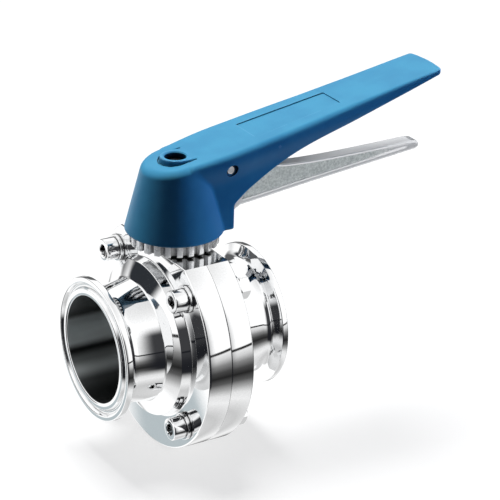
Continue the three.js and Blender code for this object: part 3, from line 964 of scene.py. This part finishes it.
def disc_with_stem():
    low, high = span("disc_with_stem")
    rim = [(0, 4.4), (8, 4.05), (16, 2.65), (DISC_R - 1.2, 1.6, 1.0), (DISC_R, 0.35, 0.4)]
    other = [(r, -y, *rest) for r, y, *rest in reversed(rim)]
    disc = lathe("disc", rim + other, "Y")
    stem = lathe(
        "stem",
        [(0, low.z), (STEM_R, low.z, 0.5), (STEM_R, SQUARE_BOTTOM, 0.5), (0, SQUARE_BOTTOM)],
        facets=ROUND,
    )
    s = SQUARE / 2
    corner = 0.7
    plan = rounded([(-s, -s, corner), (s, -s, corner), (s, s, corner), (-s, s, corner)])
    square = prism("square", plan, SQUARE_BOTTOM - 0.5, high.z)
    join(disc, stem, square)
    cut(disc, cylinder("tapping", SHANK_R["M5"] + 0.12, SQUARE_BOTTOM + 3, high.z + 5))
    placed(disc, "disc_with_stem", "handle", MIRROR_DISC)


# ---------------------------------------------------------------- handle

HALF_WIDTH = [(0, 14.1), (8, 15.3), (20, 16.4), (36, 16.2), (51, 15.8), (70, 14.9), (97, 13.6), (124, 12.7)]
LOWER_EDGE = [(22.4, 60.6), (27, 64.4), (34, 68.9), (54, 79), (85, 88.4), (105, 94.5), (130.4, 102.2)]
DRAFT = 3.0  # how far the side walls stand in below the top edge


def from_pin(x, z):
    return np.hypot(x - PIN.x, z - PIN.z)


def wall_distance(x, y, z, inset):
    depth = TOP_Z + TOP_SLOPE * x - z
    t = np.clip((depth - 3) / 12, 0, 1)
    return np.abs(y) - (flowing(HALF_WIDTH, x) - DRAFT * t * t * (3 - 2 * t) - inset)


def handle_distance(x, y, z):
    from_axis = np.hypot(x, y)
    cone = (from_axis - CUP_R + CUP_SLOPE * (z - CUP_BOTTOM)) / math.hypot(1, CUP_SLOPE)
    top = (z - TOP_Z - TOP_SLOPE * x) / math.hypot(1, TOP_SLOPE)
    under = (flowing(LOWER_EDGE, x) - z) * 0.85
    edge = either(x - CHEEK_X, under, 0.8)
    bar = both(both(wall_distance(x, y, z, 0), edge, 0.8), -x, 0.5)
    outside = both(either(cone, bar, 0.8), top, np.interp(x, *EDGE_ROUND))
    corner = both(np.abs(y) - flowing(HALF_WIDTH, x) - 0.3, x - TIP_X + y**2 / (2 * TIP_ARC), TIP_ROUND)
    outside = both(outside, np.where(x > TIP_X / 2, corner, x - TIP_X), 0.6)
    pad_plan = np.hypot(np.minimum(x, 0), y) - PAD_R
    moat = both(np.abs(pad_plan - 0.45) - 0.45, -top - MOAT_DEPTH, 0.2)
    outside = without(outside, both(moat, x - 7, 1.0), 0.3)
    pad = both(both(pad_plan, z - PAD_Z, 0.55), x - 14, 0.5)
    outside = either(outside, both(pad, TOP_Z - 6 - z, 0.1), 0.25)
    outside = both(outside, CUP_BOTTOM - z, 0.9)
    return without(outside, handle_hollow(x, y, z, from_axis, top), 0.5)


def handle_hollow(x, y, z, from_axis, top):
    ceiling = RING_HIGH.z + 0.5
    tapered = from_axis - (CUP_R - WALL - CUP_SLOPE * (z - CUP_BOTTOM))
    cup = both(both(tapered, z - 74.3, 1.5), BOSS_R - from_axis, 1.0)
    cup = both(cup, ceiling - z, 0.1)
    cup = either(cup, both(from_axis - LINER_R, z - ceiling, 0.4), 0.3)
    channel = both(wall_distance(x, y, z, WALL), top + WALL, 1.2)
    channel = both(both(channel, x - TIP_X + 4, 3.0), BOSS_R + 2.5 - x, 0.8)
    hollow = either(cup, channel, 0.6)
    near = both(from_pin(x, z) - PIN_BOSS_R[0], y + LEVER_HALF + 0.35, 0.3)
    far = both(from_pin(x, z) - PIN_BOSS_R[1], PIN_HALF - 3.4 - y, 0.3)
    return without(hollow, np.minimum(near, far), 0.5)


def slope_slab(name, x, half_width, depth):
    """A block that reaches the given depth below the handle's sloping top."""
    plan = [(x[0], -half_width[0]), (x[1], -half_width[1]), (x[1], half_width[1]), (x[0], half_width[0])]
    slab = prism(name, rounded([(*p, 0.8) for p in plan]), -depth, 3.0)
    tilt = Matrix.Identity(4)
    tilt[2][0] = TOP_SLOPE
    tilt[2][3] = TOP_Z
    return moved(slab, tilt)


def handle_body():
    low = (-CUP_R - 1.2, -CUP_R - 1.2, CUP_BOTTOM - 1.2)
    high = (TIP_X + 1.5, CUP_R + 1.5, HANDLE_HIGH.z + 1.5)
    shell = zero_level("shell", handle_distance, low, high, 0.55)
    s = SQUARE / 2 + 0.2
    pin_hole = cylinder("hole", PIN_R + 0.1, -ACROSS, ACROSS, "Y")
    top_hole = [
        (0, WEB_TOP),
        (PAD_HOLE_R, WEB_TOP),
        (PAD_HOLE_R, PAD_Z - 0.5),
        (PAD_HOLE_R + 1, PAD_Z + 0.5),
        (0, ABOVE_PAD),
    ]
    tools = [
        block("drive", (-s, s), (-s, s), (CUP_BOTTOM - 2, WEB_BOTTOM)),
        cylinder("hole", SHANK_R["M5"] + 0.3, WEB_BOTTOM - 1, WEB_TOP + 1),
        lathe("hole", top_hole, facets=ROUND),
        shifted(pin_hole, PIN.x, 0, PIN.z),
        slope_slab("panel", (35, 79), (8.4, 7.0), 0.45),
    ]
    for side in (-1, 1):
        recess = cylinder("recess", PIN_R + 0.9, side * (PIN_HALF - 0.4), side * ACROSS, "Y")
        tools.append(shifted(recess, PIN.x, 0, PIN.z))
    cut(shell, *tools)
    placed(shell, "handle_body", "handle", BLUE)


# ---------------------------------------------------------------- trigger

LEVER_UPPER = [(27, 79.6), (38, 74), (50.5, 70.2), (61, 69.1), (77, 68.4), (98, 68.2), (121.6, 68.3)]
LEVER_LOWER = [(123.4, 64.0), (105, 62.2), (88, 60.6), (61.4, 58.0), (44, 56.1), (31, 54.8)]


def lever_side():
    """Side view of the lever: hub, finger bar with its rounded tip, and the heel behind the tooth."""
    upper = [(x, float(flowing(LEVER_UPPER, x))) for x in np.arange(27.0, 121.7, 2.7)]
    lower_knots = LEVER_LOWER[::-1]
    lower = [(x, float(flowing(lower_knots, x))) for x in np.arange(123.4, 30.9, -2.8)]
    tip = [(124.2, 67.7), (125.2, 66.4), (124.9, 64.8)]
    heel = [(28.8, 53.5), (26, 51.4), (22.6, 50.4), (19.2, 50.4), (17.4, 62), (PIN.x - LEVER_HUB_R, PIN.z)]
    return [(PIN.x, PIN.z + LEVER_HUB_R), *upper, *tip, *lower, *heel]


def lever_recess():
    upper = [(x, float(flowing(LEVER_UPPER, x)) - 1.3) for x in np.arange(38.0, 119.0, 2.6)]
    lower = [(x, float(flowing(LEVER_LOWER[::-1], x)) + 2.7) for x in np.arange(118.0, 32.0, -2.6)]
    return [(34, 73), *upper, *lower, (33, 59)]


RECESS_END = (88.0, 119.0)  # where the recess grows shallow, and where it ends
LEVER_SIDE = lever_side()
LEVER_RECESS = lever_recess()


def lever_distance(x, y, z):
    side = outline_distance(LEVER_SIDE, x, z)
    bar = both(side, np.abs(y) - LEVER_HALF, 1.1)
    floor_y = np.interp(x, RECESS_END, (LEVER_WEB_HALF, LEVER_HALF - 0.15))
    pocket = both(outline_distance(LEVER_RECESS, x, z) - 0.2, floor_y - np.abs(y), 0.4)
    bar = without(bar, pocket, 0.5)
    hub = both(from_pin(x, z) - LEVER_HUB_R, np.abs(y) - LEVER_HALF, 0.5)
    tooth = [(17, 43.9), (22.6, 43.9), (23.2, 53), (19.5, 53), (19.2, 49.9), (17, 49.6)]
    finger = both(outline_distance(tooth, x, z), np.abs(y) - 0.9, 0.25)
    lever = either(either(bar, hub, 0.8), finger, 0.4)
    return without(lever, from_pin(x, z) - PIN_R - 0.1, 0.2)


def trigger_lever():
    low, high = span("trigger_lever")
    margin = Vector((0.9, 0.9, 0.9))
    lever = zero_level("lever", lever_distance, low - margin, high + margin, 0.26)
    placed(lever, "trigger_lever", "trigger", CAST)


def trigger_pin():
    low, high = PIN_LOW.y, PIN_HIGH.y
    pin = lathe("pin", [(0, low), (PIN_R, low, 0.7), (PIN_R, high, 0.7), (0, high)], "Y", ROUND)
    placed(shifted(pin, PIN.x, 0, PIN.z), "trigger_pin", "handle", SATIN)


def trigger_spring():
    """A torsion spring round the pin, with one leg under the roof and one beside the lever."""
    coil_r = 3.7
    turns = 2.743
    start = -17.5  # degrees, where the short leg meets the coil
    width = 3.1  # of the coil, along the pin
    legs = (4.5, 12.0)
    wire_r = 0.55
    first_y = LEVER_HALF + 1

    def point(share):
        a = math.radians(start - 360 * turns * share)
        x, z = PIN.x + coil_r * math.cos(a), PIN.z + coil_r * math.sin(a)
        return Vector((x, first_y + width * share, z)), a

    def backwards(a):
        return Vector((-math.sin(a), 0, math.cos(a)))

    first, a0 = point(0.0)
    last, a1 = point(1.0)
    path = [first + backwards(a0) * legs[0] * (1 - i / 8) for i in range(8)]
    path += [point(i / 110)[0] for i in range(111)]
    path += [last - backwards(a1) * legs[1] * (i + 1) / 12 for i in range(12)]
    wire = swept("wire", path, wire_r)
    placed(wire, "trigger_spring", "handle", WIRE)


# ---------------------------------------------------------------- studio


TENT = 1.2  # brightness of the tent's walls

# (elevation, brightness) of the darker gap in the tent's wall
GAP = [
    (-90, 0.80),
    (-62, 0.66),
    (-50, 0.98),
    (-44, 0.88),
    (-38, 0.42),
    (-32.5, 0.11),
    (-26.5, 0.02),
    (-21, 0.07),
    (-15, 0.27),
    (-9.5, 0.72),
    (-4.8, 0.95),
    (-4.3, 0.02),
    (-2.5, 0.02),
    (-2.0, TENT),
    (50, TENT),
    (90, 0.85),
]

# Patches of the tent: where each fades in and out by azimuth, the same by elevation, and its shade.
PATCHES = [
    ((-164, -157, -142, -138), (-42, -36, -27.9, -26.8), (0.52, 0.585, 0.61)),  # the table's edge
    ((-150.6, -149.8, -144, -141), (-27.9, -27.1, -24.3, -23.5), (0.01, 0.011, 0.014)),  # a black flag
    ((-163, -153, -120, -110), (1, 6, 19, 25), (0.03, 0.034, 0.04)),  # a dark screen
]


def between(make, value, *edges):
    """One between the two middle edges, zero beyond the outer two."""
    rises = make.range(value, edges[0], edges[1])
    return make.math("MULTIPLY", rises, make.range(value, edges[3], edges[2]))


def window(make, azimuth, facing, inner, outer):
    """One inside an angle of a direction round the object, zero beyond a wider one."""
    apart = make.math("COSINE", make.math("SUBTRACT", azimuth, math.radians(facing)))
    return make.range(apart, math.cos(math.radians(outer)), math.cos(math.radians(inner)))


def studio():
    """Reflections come from a white tent with darker zones, and camera rays see a plain pale backdrop.
    The suns stand in the assembly: a key from above and behind, two blue side lights for the handle,
    and a white front light for the index ring, the trigger and its pin."""
    world = bpy.data.worlds.new("studio")
    world.use_nodes = True
    scene.world = world
    make = Nodes(world.node_tree)
    x, y, z = make.parts(make("TexCoord", "Generated"))
    azimuth = make.math("ARCTAN2", x, make.math("MULTIPLY", y, -1.0))
    height = make.math("MULTIPLY_ADD", z, 0.5, 0.5)

    turn = make.math("MULTIPLY", azimuth, 180 / math.pi)
    lift = make.math("MULTIPLY", make.math("ARCSINE", z), 180 / math.pi)

    def at(elevation):
        return 0.5 + 0.5 * math.sin(math.radians(elevation))

    gap = make.ramp(height, [(at(elevation), brightness) for elevation, brightness in GAP])
    open_side = window(make, azimuth, -150, 34, 48)
    tent = make.mix(open_side, gap, (TENT, TENT, TENT))
    front = make.math("MULTIPLY", window(make, azimuth, -28, 36, 52), make.range(z, 0.72, 0.45))
    front = make.math("MULTIPLY", front, make.range(z, -0.62, -0.52))
    tent = make.mix(make.math("MULTIPLY", front, 0.97), tent, (0.015, 0.016, 0.02))
    back = make.math("MULTIPLY", window(make, azimuth, 148, 40, 60), make.range(z, 0.38, 0.30))
    back = make.math("MULTIPLY", back, make.range(z, -0.12, -0.05))
    tent = make.mix(make.math("MULTIPLY", back, 0.92), tent, (0.03, 0.032, 0.036))
    for turns, lifts, shade in PATCHES:
        patch = make.math("MULTIPLY", between(make, turn, *turns), between(make, lift, *lifts))
        tent = make.mix(patch, tent, shade)
    path = make.tree.nodes.new("ShaderNodeLightPath").outputs
    colour = make.mix(path["Is Glossy Ray"], (0.022, 0.032, 0.06), tent)
    colour = make.mix(path["Is Camera Ray"], colour, (0.97, 0.97, 0.97))
    background = make("Background", Color=colour)
    make.tree.links.new(background, make.tree.nodes.new("ShaderNodeOutputWorld").inputs[0])


def sun(name, azimuth, elevation, strength, colour, spread, only=()):
    """A soft light from a direction given as the camera's is. It isn't seen in reflections, and it can be
    kept to the pieces of some nodes."""
    light = bpy.data.lights.new(name, "SUN")
    light.energy = strength
    light.color = colour
    light.angle = math.radians(spread)
    lamp = bpy.data.objects.new(name, light)
    lamp.rotation_mode = "QUATERNION"
    lamp.rotation_quaternion = direction(azimuth, elevation).to_track_quat("Z", "Y")
    lamp.visible_glossy = False
    scene.collection.objects.link(lamp)
    if only:
        lit = bpy.data.collections.new(f"lit_by_{name}")
        for node in only:
            lit.objects.link(bpy.data.objects[f"{node}_visual"])
        lamp.light_linking.receiver_collection = lit


def direction(azimuth, elevation):
    a, e = math.radians(azimuth), math.radians(elevation)
    return Vector((math.sin(a) * math.cos(e), -math.cos(a) * math.cos(e), math.sin(e)))


def floor():
    size = 3.0
    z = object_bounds()[0].z
    mesh = bpy.data.meshes.new("floor")
    corners = [(-size, -size, z), (size, -size, z), (size, size, z), (-size, size, z)]
    mesh.from_pydata(corners, [], [(0, 1, 2, 3)])
    plane = bpy.data.objects.new("floor", mesh)
    scene.collection.objects.link(plane)
    material, make = new_material("pale_floor")
    lit = make("BsdfDiffuse", Color=(0.30, 0.30, 0.30, 1))
    glow = make("Emission", Color=(1, 1, 1, 1), Strength=0.72)
    shader = make("AddShader", _0=lit, _1=glow)
    make.tree.links.new(shader, make.tree.nodes.new("ShaderNodeOutputMaterial").inputs[0])
    mesh.materials.append(material)
    plane.visible_glossy = False
    plane.visible_diffuse = False
    plane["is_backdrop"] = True


def camera():
    """A long lens from the inlet's side, a little above the handle."""
    azimuth, elevation, roll = -32.07, 24.23, 1.566
    distance = 1070.6 * MM
    aim = CROSSING + Vector((38.85, 0, 30.31)) * MM
    data = bpy.data.cameras.new("camera")
    data.sensor_width = 36.0
    data.lens = 174.15
    data.clip_start = 0.05
    eye = bpy.data.objects.new("camera", data)
    back = direction(azimuth, elevation)
    eye.location = aim + back * distance
    eye.rotation_mode = "QUATERNION"
    facing = back.to_track_quat("Z", "Y")
    eye.rotation_quaternion = facing @ Matrix.Rotation(math.radians(roll), 4, "Z").to_quaternion()
    scene.collection.objects.link(eye)
    scene.camera = eye


def render_look():
    scene.view_settings.view_transform = "Standard"
    scene.view_settings.look = "None"


# ---------------------------------------------------------------- assembly

body_half(-1, "body_half_inlet")
body_half(1, "body_half_outlet")
seat()
stem_fittings()
body_fasteners()
index_ring()
upright_screw("ring_screw_1", "valve_body", "M4", SCREW)
upright_screw("ring_screw_2", "valve_body", "M4", SCREW)
disc_with_stem()
handle_body()
upright_screw("handle_screw", "handle", "M5", BLACK_SCREW)
washer("handle_screw_washer", "handle", "Z", BLACK_SCREW)
trigger_pin()
trigger_spring()
trigger_lever()
studio()
sun("key", 165, 70, 3.8, (1.0, 1.0, 1.0), 24)
sun("left", -140, 10, 0.85, (0.45, 0.85, 1.0), 16, only=["handle_body"])
sun("right", 64, 10, 1.8, (0.24, 0.48, 0.90), 16, only=["handle_body"])
sun("front", -8, -4, 4.2, (1.0, 1.0, 1.0), 40, only=["index_ring", "trigger_lever", "trigger_pin"])
floor()
camera()
render_look()
